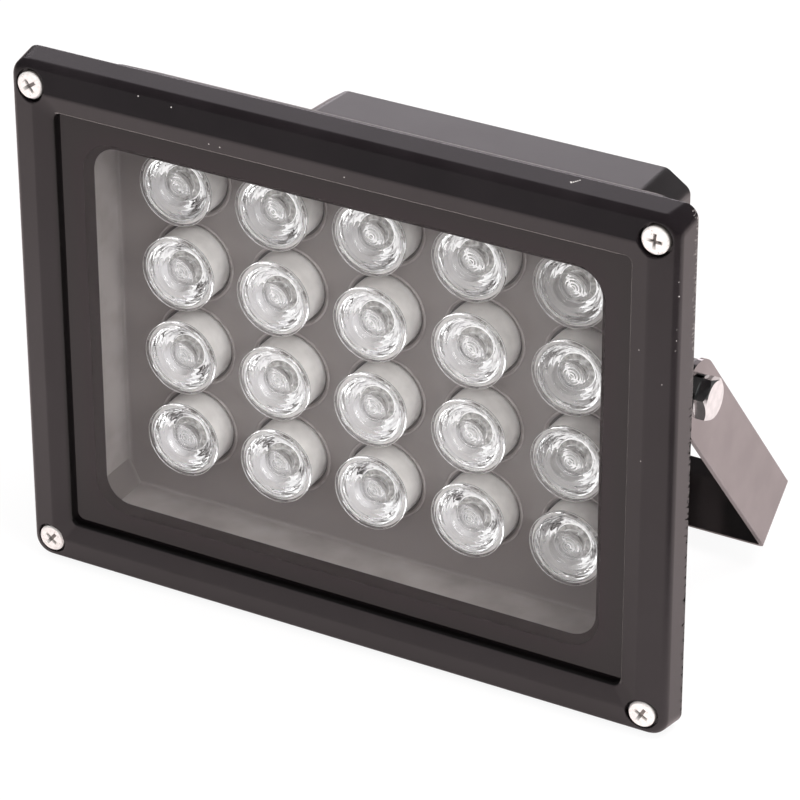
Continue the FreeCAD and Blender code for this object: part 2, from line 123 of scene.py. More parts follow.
def mottle(tree, shader, place, size, darker, lighter, roughness):
    # slow patches of colour and roughness, of a size in millimetres
    noise = addNode(tree, "TexNoise", {"Vector": place, "Scale": perMm(size),
                                       "Detail": patchValues["detail"]})
    ramp = addNode(tree, "ValToRGB", {"Fac": noise})
    for element, position, colour in zip(ramp.color_ramp.elements, patchValues["colourSteps"],
                                         (darker, lighter)):
        element.position = position
        element.color = srgb(colour)
    tree.links.new(ramp.outputs["Color"], shader.inputs["Base Color"])
    start, end = patchValues["roughnessSteps"]
    spread = addNode(tree, "MapRange", {"Value": noise, "From Min": start, "From Max": end,
                                        "To Min": roughness[0], "To Max": roughness[1]})
    tree.links.new(spread.outputs["Result"], shader.inputs["Roughness"])
    return ramp.outputs["Color"]


def letLampsThrough(tree, surface, share="#ffffff"):
    # clear pieces let the lamps' light through, or a share of it
    path = addNode(tree, "LightPath").outputs
    through = addNode(tree, "BsdfTransparent", {"Color": srgb(share)})
    mix = addNode(tree, "MixShader", {"Fac": path["Is Shadow Ray"], 1: surface, 2: through})
    tree.links.new(mix.outputs["Shader"], tree.nodes["Material Output"].inputs["Surface"])


def layColour(tree, shader, base, share, colour):
    # lays a second colour over what the shader's base colour has so far
    mix = addNode(tree, "Mix", {"Factor": share, mixFirst: base, mixSecond: colour}, data_type="RGBA")
    tree.links.new(mix.outputs[mixResult], shader.inputs["Base Color"])
    return mix.outputs[mixResult]


def beyond(tree, place, x, z, allSides):
    # how far a point of the face lies beyond x and z, measured round that corner, or round all four
    steps = [("SUBTRACT", (x * mm, 0, z * mm)), ("MULTIPLY", (1, 0, 1)), ("MAXIMUM", (0, 0, 0))]
    if allSides:
        steps.insert(0, ("ABSOLUTE", (0, 0, 0)))
    away = addNode(tree, "VectorMath", {0: place, 1: lampPlace(0, 0, 0)}, operation="SUBTRACT")
    for operation, by in steps:
        away = addNode(tree, "VectorMath", {0: away, 1: by}, operation=operation)
    return addNode(tree, "VectorMath", {0: away}, operation="LENGTH").outputs["Value"]


coatValues = {
    "edgeSoftness": 0.5,                  # mm, how far the coat rounds over sharp edges
    "chips": [                            # across, depth and height of each chip in the coat, and its radius
        (-44.0, 1.2, 67.4, 0.2), (-33.5, 0.7, 60.4, 0.2), (-30.5, 0.7, 60.2, 0.22),
        (3.5, 0.6, 60.6, 0.18), (-53.3, 1.4, 68.1, 0.18), (59.5, 6.9, 70.2, 0.25),
        (59.8, 6.6, 70.2, 0.25), (60.1, 7.1, 70.2, 0.25), (60.4, 7.6, 70.2, 0.25),
        (60.7, 8.0, 70.2, 0.25), (61.0, 8.5, 70.2, 0.25), (89.6, 2.25, 54.2, 0.11),
        (89.7, 2.4, 50.5, 0.17), (89.5, 2.15, 42.0, 0.1), (89.5, 2.15, 39.1, 0.13),
        (89.4, 2.0, 36.5, 0.1), (80.9, 0.5, 35.2, 0.13), (78.0, 1.6, 31.6, 0.2),
        (86.7, 1.0, 27.4, 0.12), (82.3, 0.1, 6.3, 0.15)],
    "chipHeart": 0.6,                     # share of a chip's radius that is bare all over
    "lipCorner": (75.9, 55.9),            # across and height of the middle of the lip's round corner
    "lipShadeReach": (2.9, 2.2),              # from there, where painted shade starts to darken the coat and turns it deep black
    "lineReach": (1.8, 1.95, 2.3, 2.45),  # from there, where the painted highlight starts, is full, fades and ends
    "lineDepth": (1.9, 2.1),              # behind the crest, where the line is full and ends
    "lineAcross": (-77.5, 75.0),          # where it starts on the left, and where it meets its right side
    "lineLow": -57.5,                     # the height at which it ends
    "lineFade": 1.0,
    "lineRightShare": 0.35,
    "edgeStrip": 2.6,                     # mm of rough casting left bare along the right side's rear edge
    "edgeSide": (1.5, 1.0),               # mm in from the right side, where the strip starts and is full
    "edgeStart": 0.1,                     # share of the strip's width over which it comes in
    "edgeGrain": 0.55,                    # mm
    "edgeGrainDetail": 3.0,
    "edgeGrainDepth": 0.35,               # under 1 the grain is drawn out towards the rear
    "edgeRagged": (0.30, 0.74, 0.84),     # the grain's lift at the very edge, and where it shows and is full
    "edgeDark": (35.0, 15.0),             # heights between which the strip turns from pale to dark
}


def paintedLipHighlight(tree, place, values):
    # a painted highlight: the fine pale line along the top and right of the lip, standing in for the light
    # its edge catches, fainter on the right
    split = addNode(tree, "SeparateXYZ", {"Vector": place}).outputs
    reach = beyond(tree, place, *values["lipCorner"], allSides=False)
    start, full, fade, end = (step * mm for step in values["lineReach"])
    shallow, deep = (lampPlace(0, depth, 0).y for depth in values["lineDepth"])
    left, right = (x * mm for x in values["lineAcross"])
    low = lampPlace(0, 0, values["lineLow"]).z
    soft = values["lineFade"] * mm
    line = addNode(tree, "MapRange", {"Value": split["X"], "From Min": right - soft, "From Max": right + soft,
                                      "To Min": 1.0, "To Max": values["lineRightShare"]})
    for value, nothing, whole in [(reach, start, full), (reach, end, fade), (split["Y"], deep, shallow),
                                  (split["X"], left, left + soft), (split["Z"], low, low + soft)]:
        line = addNode(tree, "MapRange", {"Value": value, "From Min": nothing, "From Max": whole,
                                          "To Max": line})
    return line


def bareEdge(tree, place, values):
    # the rough strip of casting behind the right side: how bare a point is, and its grey, dark below
    split = addNode(tree, "SeparateXYZ", {"Vector": place}).outputs
    front = frameHigh.y - values["edgeStrip"] * mm
    strip = addNode(tree, "MapRange", {"Value": split["Y"], "From Min": front, "From Max": frameHigh.y})
    stretch = (1, values["edgeGrainDepth"], 1)
    stretched = addNode(tree, "VectorMath", {0: place, 1: stretch}, operation="MULTIPLY")
    grain = addNode(tree, "TexNoise", {"Vector": stretched, "Scale": perMm(values["edgeGrain"]),
                                       "Detail": values["edgeGrainDetail"]})
    lift, shows, full = values["edgeRagged"]
    bare = addNode(tree, "Math", {0: strip, 1: lift, 2: grain}, operation="MULTIPLY_ADD")
    bare = addNode(tree, "MapRange", {"Value": bare, "From Min": shows, "From Max": full})
    start, full = (frameHigh.x - side * mm for side in values["edgeSide"])
    bare = addNode(tree, "MapRange", {"Value": split["X"], "From Min": start, "From Max": full,
                                      "To Max": bare})
    bare = addNode(tree, "MapRange", {"Value": strip, "From Max": values["edgeStart"], "To Max": bare})
    pale, dark = (lampPlace(0, 0, z).z for z in values["edgeDark"])
    low = addNode(tree, "MapRange", {"Value": split["Z"], "From Min": pale, "From Max": dark})
    grey = addNode(tree, "Mix", {"Factor": low, mixFirst: srgb("#716c6a"), mixSecond: srgb("#0a0909")},
                   data_type="RGBA")
    return bare, grey.outputs[mixResult]


def makeSatinCoat(values):
    # satin powder coat on a cast frame: warm black, smooth as an egg shell, with a few pale chips, painted
    # shade that turns the walls of the lip deep black, a painted highlight along the lip and a rough grey
    # rear edge
    material, tree, shader, place = newMaterial("satin_powder_coat", "#171315", 0.2, {"IOR": 1.5})
    bump = addGrain(tree, shader, place, size=0.9, depth=0.003)
    soft = addNode(tree, "Bevel", {"Radius": values["edgeSoftness"] * mm}, samples=4)
    tree.links.new(soft.outputs["Normal"], bump.inputs["Normal"])
    colour = mottle(tree, shader, place, 14, "#151113", "#1a1618", roughness=(0.15, 0.24))
    for x, depth, z, radius in values["chips"]:
        away = addNode(tree, "VectorMath", {0: place, 1: lampPlace(x, depth, z)}, operation="DISTANCE")
        chip = addNode(tree, "MapRange", {"Value": away.outputs["Value"], "From Min": radius * mm,
                                          "From Max": values["chipHeart"] * radius * mm})
        colour = layColour(tree, shader, colour, chip, srgb("#c9c4c0"))
    # painted shade: the walls of the lip darken to deep black
    start, full = (reach * mm for reach in values["lipShadeReach"])
    wall = addNode(tree, "MapRange", {"Value": beyond(tree, place, *values["lipCorner"], allSides=True),
                                      "From Min": start, "From Max": full})
    colour = layColour(tree, shader, colour, wall, srgb("#060505"))
    # painted highlight: a fine pale line along the lip's edge
    colour = layColour(tree, shader, colour, paintedLipHighlight(tree, place, values), srgb("#8f8886"))
    bare, grey = bareEdge(tree, place, values)
    layColour(tree, shader, colour, bare, grey)
    matt = addNode(tree, "MapRange", {"Value": bare, "To Min": 0.5, "To Max": 0.0})
    tree.links.new(matt.outputs["Result"], shader.inputs["Specular IOR Level"])
    return material


def makeHousingCoat():
    # the same coat on the rougher rear casting: coarser grain, a wide dusty sheen
    material, tree, shader, place = newMaterial("cast_housing_coat", "#201d1e", 0.36,
                                                {"IOR": 1.5, "Specular IOR Level": 1.0})
    addGrain(tree, shader, place, size=0.6, depth=0.012)
    mottle(tree, shader, place, 18, "#1d1a1b", "#242122", roughness=(0.32, 0.4))
    return material


def makeScrewSteel(name="nickel_plated_screw"):
    # bright nickel on steel: a pale, nearly white metal with soft reflections
    material, tree, shader, place = newMaterial(name, "#f4f0ed", 0.3, {"Metallic": 0.45})
    addGrain(tree, shader, place, size=0.3, depth=0.008)
    mottle(tree, shader, place, 0.7, "#ece7e3", "#f8f5f2", roughness=(0.27, 0.34))
    return material


screwValues = {
    "faceDepth": 0.4,            # mm behind the crest of the frame's face
    "recessShade": (0.3, 1.04),  # mm from the screw's face, where the shade starts and is full
}


def makeCornerScrewSteel(values):
    # the same nickel, with painted shade gathered in the cross recess
    material = makeScrewSteel("nickel_plated_head")
    tree = material.node_tree
    shader = tree.nodes["Principled BSDF"]
    place = addNode(tree, "TexCoord").outputs["Object"]
    depth = addNode(tree, "SeparateXYZ", {"Vector": place}).outputs["Y"]
    start, full = (lampPlace(0, values["faceDepth"] + step, 0).y for step in values["recessShade"])
    # painted shade, deeper in the cross recess
    shade = addNode(tree, "MapRange", {"Value": depth, "From Min": start, "From Max": full})
    base = shader.inputs["Base Color"].links[0].from_socket
    layColour(tree, shader, base, shade, srgb("#8d8783"))
    return material


glassValues = {
    "index": 1.5,            # refractive index
    "faceSkin": (0.2, 0.1),  # mm into the pane, where its front or rear face starts and is full
    "window": (69.2, 50.0),  # mm, half width and half height of the clear window in the print
    "windowCorner": 7.0,
    "overPrint": 1.8,        # from this far outside the window the front face only ever shows the print
    "overPrintEdge": 0.01,
    "printShadeFade": 5.0,        # mm over which painted shade deepens the print towards the lip, and its mirror gets stronger
    "printMirror": 1.61,     # the refractive index that gives the print behind glass its shine near the lip
}


def makeClearGlass(values):
    # float glass: clear and mirror smooth in front, its rear face wetted by the fused print,
    # so that it mirrors only once
    index = values["index"]
    material, tree, shader, place = newMaterial("float_glass", "#ffffff", 0.0,
                                                {"IOR": index, "Transmission Weight": 1.0})
    depth = addNode(tree, "SeparateXYZ", {"Vector": place}).outputs["Y"]
    low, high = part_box("front_glass")
    deep, shallow = (skin * mm for skin in values["faceSkin"])
    rear = addNode(tree, "MapRange", {"Value": depth, "From Min": high.y - deep,
                                      "From Max": high.y - shallow})
    unmirrored = addNode(tree, "BsdfRefraction", {"Roughness": 0.0, "IOR": index})
    pane = addNode(tree, "MixShader", {"Fac": rear, 1: shader, 2: unmirrored})
    # In front of the print the pane is drawn as black enamel under a mirror,
    # which leaves less noise than looking through the glass.
    corner = values["windowCorner"]
    reach = beyond(tree, place, *(half - corner for half in values["window"]), allSides=True)
    start = (corner + values["overPrint"]) * mm
    full = start + values["printShadeFade"] * mm
    front = addNode(tree, "MapRange", {"Value": depth, "From Min": low.y + deep,
                                       "From Max": low.y + shallow})
    covered = addNode(tree, "MapRange", {"Value": reach, "From Min": start,
                                         "From Max": start + values["overPrintEdge"] * mm, "To Max": front})
    # painted shade: the print turns deeper black towards the lip
    towardsLip = addNode(tree, "MapRange", {"Value": reach, "From Min": start, "From Max": full})
    black = addNode(tree, "Mix", {"Factor": towardsLip, mixFirst: srgb("#201a1c"),
                                  mixSecond: srgb("#0d0a0b")}, data_type="RGBA")
    enamel = addNode(tree, "BsdfDiffuse", {"Color": black.outputs[mixResult]})
    gloss = addNode(tree, "BsdfAnisotropic", {"Roughness": 0.0})
    strength = addNode(tree, "MapRange", {"Value": towardsLip, "To Min": index,
                                          "To Max": values["printMirror"]})
    mirror = addNode(tree, "Fresnel", {"IOR": strength})
    overPrint = addNode(tree, "MixShader", {"Fac": mirror, 1: enamel, 2: gloss})
    letLampsThrough(tree, addNode(tree, "MixShader", {"Fac": covered, 1: pane, 2: overPrint}))
    return material


def makeBlackPrint():
    # enamel fired on the back of the pane: warm black with no shine of its own, behind the shine of the glass
    material, tree, shader, place = newMaterial("black_enamel_print", "#171012", 0.9,
                                                {"IOR": 1.5, "Specular IOR Level": 0.0})
    mottle(tree, shader, place, 9, "#150f10", "#191113", roughness=(0.85, 0.95))
    return material


def makeGasketRubber():
    # moulded silicone rubber: a dull, slightly dusty black
    material, tree, shader, place = newMaterial("silicone_gasket", "#1c1b1b", 0.75)
    addGrain(tree, shader, place, size=0.4, depth=0.02)
    mottle(tree, shader, place, 5, "#181717", "#222121", roughness=(0.7, 0.85))
    return material


sheetValues = {
    "floorDepth": (26.5, 27.9),  # mm behind the crest, where the floor's painted shade starts and is full
    "cornerShadeTurn": (0.1, 0.3),    # the same for the painted shade on the cut corners, by how far a face looks both across and up
}


def makeGreySheet(values):
    # glossy grey lacquer on folded sheet: slow cloudy patches, with painted shade darkening the floor and the
    # cut corners
    material, tree, shader, place = newMaterial("lacquered_tray_sheet", "#8e8886", 0.05, {"IOR": 1.5})
    addGrain(tree, shader, place, size=5.0, depth=0.010)
    colour = mottle(tree, shader, place, 16, "#847e7c", "#9a9492", roughness=(0.03, 0.08))
    # painted shade on the cut corners, by which way a face looks
    facing = addNode(tree, "TexCoord").outputs["Normal"]
    facing = addNode(tree, "SeparateXYZ", {"Vector": facing}).outputs
    turned = addNode(tree, "Math", {0: facing["X"], 1: facing["Z"]}, operation="MULTIPLY")
    turned = addNode(tree, "Math", {0: turned}, operation="ABSOLUTE")
    start, full = values["cornerShadeTurn"]
    corner = addNode(tree, "MapRange", {"Value": turned, "From Min": start, "From Max": full})
    colour = layColour(tree, shader, colour, corner, srgb("#645f5d"))
    # painted shade on the floor behind the walls
    depth = addNode(tree, "SeparateXYZ", {"Vector": place}).outputs["Y"]
    start, full = (lampPlace(0, step, 0).y for step in values["floorDepth"])
    floor = addNode(tree, "MapRange", {"Value": depth, "From Min": start, "From Max": full})
    layColour(tree, shader, colour, floor, srgb("#77716f"))
    return material


def makeRimHighlight():
    # the pressed rim of a hole, drawn paler than the sheet as a painted highlight: a fine pale line
    material, tree, shader, place = newMaterial("rim_painted_highlight", "#968f8d", 0.1, {"IOR": 1.5})
    addGrain(tree, shader, place, size=1.0, depth=0.006)
    mottle(tree, shader, place, 3, "#8a8482", "#a39d9b", roughness=(0.06, 0.14))
    return material


def makeBoardMetal():
    # metal-core board with a black solder mask, seen as the dark gap round each holder
    material, tree, shader, place = newMaterial("black_solder_mask", "#201d1c", 0.4)
    addGrain(tree, shader, place, size=0.5, depth=0.01)
    mottle(tree, shader, place, 8, "#1c1a19", "#262322", roughness=(0.35, 0.45))
    return material


def makeEmitterResin():
    # pale ceramic and clear resin of an infrared emitter: broken light and dark, swirled by the lens
    material, tree, shader, place = newMaterial("emitter_resin", "#cfccc7", 0.15, {"IOR": 1.5})
    addGrain(tree, shader, place, size=0.5, depth=0.02)
    mottle(tree, shader, place, 1.1, "#8b8884", "#fbf9f5", roughness=(0.08, 0.2))
    return material


def makeAcrylic():
    # moulded acrylic: water clear, with flow ripples that break up what is seen through it
    material, tree, shader, place = newMaterial("clear_acrylic", "#ffffff", 0.0,
                                                {"IOR": 1.49, "Transmission Weight": 1.0})
    addGrain(tree, shader, place, size=1.8, depth=0.045, detail=1.0)
    letLampsThrough(tree, shader, "#fafbff")
    return material


def makeWhitePlastic():
    # moulded white polycarbonate: smooth, with a soft sheen
    material, tree, shader, place = newMaterial("white_polycarbonate", "#e2dfdc", 0.36, {"IOR": 1.55})
    addGrain(tree, shader, place, size=2.5, depth=0.01)
    mottle(tree, shader, place, 4, "#dad7d4", "#e9e6e3", roughness=(0.3, 0.42))
    return material


def makeCircuitBoard():
    # glass-fibre epoxy board under a solder mask: an even, half glossy green
    material, tree, shader, place = newMaterial("epoxy_board", "#1f5a34", 0.4)
    addGrain(tree, shader, place, size=0.4, depth=0.01)
    mottle(tree, shader, place, 6, "#1b5230", "#24633b", roughness=(0.35, 0.45))
    return material


def makeTransformerTape():
    # wound polyester tape: a warm yellow film with a soft shine
    material, tree, shader, place = newMaterial("polyester_tape", "#d8b02c", 0.35)
    addGrain(tree, shader, place, size=1.0, depth=0.02)
    mottle(tree, shader, place, 5, "#cfa626", "#e0ba3a", roughness=(0.3, 0.42))
    return material


def makeCapacitorSleeve():
    # vinyl shrunk over a can: a tight blue-black skin with a clear shine
    material, tree, shader, place = newMaterial("vinyl_sleeve", "#20242e", 0.3)
    addGrain(tree, shader, place, size=1.0, depth=0.01)
    mottle(tree, shader, place, 5, "#1c2029", "#272c37", roughness=(0.26, 0.36))
    return material


def makeLeadInsulation():
    # extruded vinyl on the leads: an even red with a waxy sheen
    material, tree, shader, place = newMaterial("vinyl_insulation", "#a32622", 0.4)
    addGrain(tree, shader, place, size=0.5, depth=0.01)
    mottle(tree, shader, place, 4, "#982320", "#ac2c28", roughness=(0.36, 0.46))
    return material


def makeGlandPlastic():
    # moulded black nylon: a fine spark-eroded grain
    material, tree, shader, place = newMaterial("moulded_nylon", "#151515", 0.5)
    addGrain(tree, shader, place, size=0.25, depth=0.01)
    mottle(tree, shader, place, 4, "#121212", "#1a1a1a", roughness=(0.45, 0.58))
    return material


def makeBracketCoat():
    # black electroplate on steel strap: a dark mirror with slow smudges
    material, tree, shader, place = newMaterial("black_plated_steel", "#8c8888", 0.14, {"Metallic": 1.0})
    addGrain(tree, shader, place, size=6.0, depth=0.008)
    mottle(tree, shader, place, 11, "#878383", "#918d8d", roughness=(0.12, 0.17))
    return material


def makeBrightPlating():
    # bright nickel on a forged bolt: sharp reflections, light and dark
    material, tree, shader, place = newMaterial("bright_nickel", "#e8eaea", 0.1, {"Metallic": 1.0})
    addGrain(tree, shader, place, size=0.8, depth=0.006)
    mottle(tree, shader, place, 2.0, "#dfe2e2", "#f1f3f3", roughness=(0.07, 0.16))
    return material


# by the start of a node's name, the longest that fits
finishes = {
    "front_frame": makeSatinCoat(coatValues),
    "rear_housing": makeHousingCoat(),
    "corner_screws": makeCornerScrewSteel(screwValues),
    "front_glass": makeClearGlass(glassValues),
    "printed_border": makeBlackPrint(),
    "glass_gasket": makeGasketRubber(),
    "reflector_tray": makeGreySheet(sheetValues),
    "led_board": makeBoardMetal(),
    "led_emitters": makeEmitterResin(),
    "lens_r": makeAcrylic(),
    "lens_holder": makeWhitePlastic(),
    "driver_board": makeCircuitBoard(),
    "driver_transformer": makeTransformerTape(),
    "driver_capacitor": makeCapacitorSleeve(),
    "driver_screws": makeScrewSteel(),
    "led_leads": makeLeadInsulation(),
    "gland_body": makeGlandPlastic(),
    "gland_nut": bpy.data.materials["moulded_nylon"],
    "gland_seal": bpy.data.materials["silicone_gasket"],
    "u_bracket": makeBracketCoat(),
    "pivot_bolts": makeBrightPlating(),
    "spring_washers": bpy.data.materials["bright_nickel"],
}
for name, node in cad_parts.items():
    fitting = [start for start in finishes if name.startswith(start)]
    for slot in node.material_slots:
        slot.material = finishes[max(fitting, key=len)]
print("finishes given to the frame")


def turnRing(name, profile, sides, centre, smoothAngle, onItself=False):
    # a ring is drawn out along the profile, then closed at both ends, or onto its own start
    path = profile + profile[:1] if onItself else profile
    radius, depth = path[0]
    bpy.ops.object.select_all(action="DESELECT")
    bpy.ops.mesh.primitive_circle_add(vertices=sides, radius=radius * mm, fill_type="NOTHING",
                                      location=centre + Vector((0, depth * mm, 0)),
                                      rotation=(math.pi / 2, 0, 0))
    piece = bpy.context.object
    piece.name = name
    bpy.ops.object.transform_apply(location=True, rotation=True, scale=True)
    bpy.ops.object.mode_set(mode="EDIT")
    bpy.ops.mesh.select_all(action="SELECT")
    for (radius, depth), (nextRadius, nextDepth) in zip(path, path[1:]):
        bpy.ops.mesh.extrude_region_move(TRANSFORM_OT_translate={"value": (0, (nextDepth - depth) * mm, 0)})
        bpy.ops.transform.resize(value=(nextRadius / radius, 1, nextRadius / radius),
                                 center_override=centre + Vector((0, nextDepth * mm, 0)))
    bpy.ops.mesh.select_all(action="SELECT")
    if onItself:
        bpy.ops.mesh.remove_doubles(threshold=0.01 * mm)
    else:
        bpy.ops.mesh.fill_holes(sides=0)
    bpy.ops.mesh.select_all(action="SELECT")
    bpy.ops.mesh.normals_make_consistent(inside=False)
    bpy.ops.object.mode_set(mode="OBJECT")
    bpy.ops.object.shade_smooth_by_angle(angle=math.radians(smoothAngle))
    return piece


def copyTo(piece, name, move):
    # a copy with a mesh of its own, moved there and left with its origin in place
    bpy.ops.object.select_all(action="DESELECT")
    piece.select_set(True)
    bpy.context.view_layer.objects.active = piece
    bpy.ops.object.duplicate(linked=False)
    copy = bpy.context.object
    copy.name = name
    bpy.ops.transform.translate(value=move)
    bpy.ops.object.transform_apply(location=True, rotation=True, scale=True)
    return copy


def lensFronts():
    # the middle of each lens's front, by the name of its node
    fronts = {}
    for name in sorted(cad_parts):
        if name.startswith("lens_r"):
            low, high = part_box(name)
            fronts[name] = Vector(((low.x + high.x) / 2, low.y, (low.z + high.z) / 2))
    return fronts


lensValues = {
    "sides": 48,
    "smoothAngle": 35,         # degrees
    "edge": 0.1,               # mm, the rounding of sharp edges
    "rim": 9.95,               # mm, the flange's outer radius
    "rimEdge": 0.15,
    "rimThick": 1.6,
    "faceRadius": 8.7,         # the clear face inside the flange, and how far it lies back
    "faceDrop": 0.25,
    "wellRadius": 4.3,
    "wellDepth": 2.4,
    "wellCrown": 0.9,          # how far the well's bottom bulges forward
    "wellStart": 0.25,         # radius of the first ring
    "rippleStep": 0.75,        # ripples left by the mould in the well's bottom
    "rippleHeight": 0.04,
    "wideRipple": (1.7, 0.6),  # a second ripple, as shares of that step and height
    "ringsPerRipple": 5,
    "coneRippleStep": 1.5,     # the ripples along the cone
    "coneRippleHeight": 0.045,
    "ringsPerConeRipple": 4,
    "coneBack": 7.8,
    "coneBackRadius": 4.6,
    "coneCurve": 1.35,         # 1 is a straight cone
    "socketRadius": 3.2,       # the hollow over the emitter
    "socketTop": 4.3,
    "socketCrown": 0.6,
    "socketRings": 7,
}


def wellProfile(values):
    # from near the middle of the well to its wall
    points = []
    radius = values["wellStart"]
    wideStep, wideHeight = values["wideRipple"]
    while radius < values["wellRadius"] - 2 * values["edge"]:
        share = radius / values["wellRadius"]
        turns = 2 * math.pi * radius / values["rippleStep"]
        ripple = values["rippleHeight"] * (math.sin(turns) + wideHeight * math.sin(turns / wideStep))
        points.append((radius, values["wellDepth"] - values["wellCrown"] * (1 - share ** 2) + ripple))
        radius += values["rippleStep"] / values["ringsPerRipple"]
    return points


def coneProfile(values):
    # from the flange to the lens's back
    points = []
    start = values["rimThick"] + values["edge"]
    length = values["coneBack"] - start
    narrowing = values["faceRadius"] - values["coneBackRadius"]
    steps = round(values["ringsPerConeRipple"] * length / values["coneRippleStep"])
    for step in range(steps + 1):
        share = step / steps
        turns = 2 * math.pi * share * length / values["coneRippleStep"]
        ripple = values["coneRippleHeight"] * math.sin(turns)
        points.append((values["faceRadius"] - narrowing * share ** values["coneCurve"] + ripple,
                       start + length * share))
    return points


def lensProfile(values):
    # (radius, depth) from the middle of the well over the rim to the middle of the socket
    edge, rimEdge = values["edge"], values["rimEdge"]
    rim, rimThick = values["rim"], values["rimThick"]
    wellRadius, faceRadius, faceDrop = values["wellRadius"], values["faceRadius"], values["faceDrop"]
    face = [(wellRadius, values["wellDepth"]), (wellRadius + edge, faceDrop + rimEdge),
            (wellRadius + edge + rimEdge, faceDrop), (faceRadius - edge, faceDrop), (faceRadius + edge, 0.0),
            (rim - rimEdge, 0.0), (rim, rimEdge), (rim, rimThick - edge), (rim - edge, rimThick),
            (faceRadius + rimEdge, rimThick)]
    socket = [(values["socketRadius"] + edge, values["coneBack"]),
              (values["socketRadius"], values["coneBack"] - edge)]
    for step in range(values["socketRings"]):
        share = 1 - step / (values["socketRings"] - 0.5)  # the last ring stays open for the closing face
        socket.append((values["socketRadius"] * share,
                       values["socketTop"] + values["socketCrown"] * (1 - share ** 2)))
    return wellProfile(values) + face + coneProfile(values) + socket


def makeLenses(values):
    # each lens again, with the ripples of its mould
    fronts = lensFronts()
    first = next(iter(fronts.values()))
    lens = turnRing("lens", lensProfile(values), values["sides"], first, values["smoothAngle"])
    lens.data.materials.append(finishes["lens_r"])
    for name, front in fronts.items():
        piece = copyTo(lens, "moulded_" + name, front - first)
        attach(piece, "lamp_head")
        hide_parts(name)
    bpy.data.objects.remove(lens)


holeRimValues = {
    "sides": 48,
    "smoothAngle": 60,   # degrees
    "radius": 10.9,      # mm, middle of the raised rim round each hole of the tray
    "halfWidth": 0.28,
    "halfTop": 0.112,    # half the width of its flat top
    "height": 0.3,
    "floorDepth": 28.0,  # mm behind the crest
    "sunk": 0.05,        # how far it reaches into the floor
}


def makeHoleRims(values):
    # the punched holes of the tray have a small raised rim
    inner, outer = values["radius"] - values["halfWidth"], values["radius"] + values["halfWidth"]
    topInner, topOuter = values["radius"] - values["halfTop"], values["radius"] + values["halfTop"]
    foot = values["floorDepth"] + values["sunk"]
    shoulder = values["floorDepth"] - values["height"] / 2
    top = values["floorDepth"] - values["height"]
    profile = [(inner, foot), (inner, shoulder), (topInner, top),
               (topOuter, top), (outer, shoulder), (outer, foot)]
    fronts = lensFronts()
    first = next(iter(fronts.values()))
    centre = Vector((first.x, frameLow.y, first.z))
    rim = turnRing("hole_rim", profile, values["sides"], centre, values["smoothAngle"], onItself=True)
    # painted highlight: the rim's finish is paler than the sheet
    rim.data.materials.append(makeRimHighlight())
    for name, front in fronts.items():
        piece = copyTo(rim, "tray_hole_rim_" + name.removeprefix("lens_"), front - first)
        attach(piece, "lamp_head")
    bpy.data.objects.remove(rim)


foldValues = {
    "radius": 1.1,      # mm, inside radius of the tray's bend between walls and floor
    "steps": 5,
    "cut": (3.4, 6.7),  # the tray's cut corners, across and up
    "wall": 0.8,        # the sheet
    "thick": 0.05,      # the strip's own skin
    "smoothAngle": 40,  # degrees
}


def makeTrayFold(values):
    # a hollow-rounded strip along the bend of the tray, where the light gathers in a thin line
    low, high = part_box("reflector_tray")
    width, height = high.x - low.x - 2 * values["wall"] * mm, high.z - low.z - 2 * values["wall"] * mm
    floorY = lampPlace(0, holeRimValues["floorDepth"], 0).y
    radius = values["radius"] * mm
    bpy.ops.object.select_all(action="DESELECT")
    bpy.ops.mesh.primitive_plane_add(size=1, location=(0, floorY - radius, middleZ),
                                     rotation=(math.pi / 2, 0, 0))
    strip = bpy.context.object
    strip.name = "tray_fold"
    strip.scale = (width, height, 1)
    bpy.ops.object.transform_apply(location=True, rotation=True, scale=True)
    bpy.ops.object.mode_set(mode="EDIT")
    cutX, cutZ = values["cut"][0] * mm, values["cut"][1] * mm
    for sideX in (-1, 1):
        for sideZ in (-1, 1):
            bpy.ops.mesh.select_all(action="SELECT")
            bpy.ops.mesh.bisect(plane_co=(sideX * (width / 2 - cutX), floorY, middleZ + sideZ * height / 2),
                                plane_no=(sideX * cutZ, 0, sideZ * cutX), clear_outer=True)
    bpy.ops.mesh.select_all(action="SELECT")
    bpy.ops.mesh.dissolve_limited()
    across, down = 0.0, 0.0
    for step in range(1, values["steps"] + 1):
        angle = math.pi / 2 * step / values["steps"]
        nextAcross, nextDown = radius * (1 - math.cos(angle)), radius * math.sin(angle)
        bpy.ops.mesh.inset(thickness=nextAcross - across, use_even_offset=True)
        bpy.ops.transform.translate(value=(0, nextDown - down, 0))
        across, down = nextAcross, nextDown
    bpy.ops.mesh.delete(type="FACE")
    bpy.ops.mesh.select_all(action="SELECT")
    bpy.ops.mesh.normals_make_consistent(inside=False)
    bpy.ops.object.mode_set(mode="OBJECT")
    thick = strip.modifiers.new("thick", "SOLIDIFY")
    thick.thickness = values["thick"] * mm
    thick.offset = 0.0
    bpy.ops.object.modifier_apply(modifier="thick")
    bpy.ops.object.shade_smooth_by_angle(angle=math.radians(values["smoothAngle"]))
    strip.data.materials.append(finishes["reflector_tray"])
    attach(strip, "lamp_head")


makeLenses(lensValues)
makeHoleRims(holeRimValues)
makeTrayFold(foldValues)
print("lenses, hole rims and tray fold made")


cameraValues = {
    "azimuth": 29.15,              # degrees round from straight ahead
    "elevation": 29.72,
    "roll": -0.196,
    "distance": 1.0451,            # metres from the target
    "target": (18.553, 0, 5.191),  # a place on the lamp
    "focal": 197.55,               # mm
    "sensor": 36,                  # mm across
    "farEnd": 20,                  # metres
}


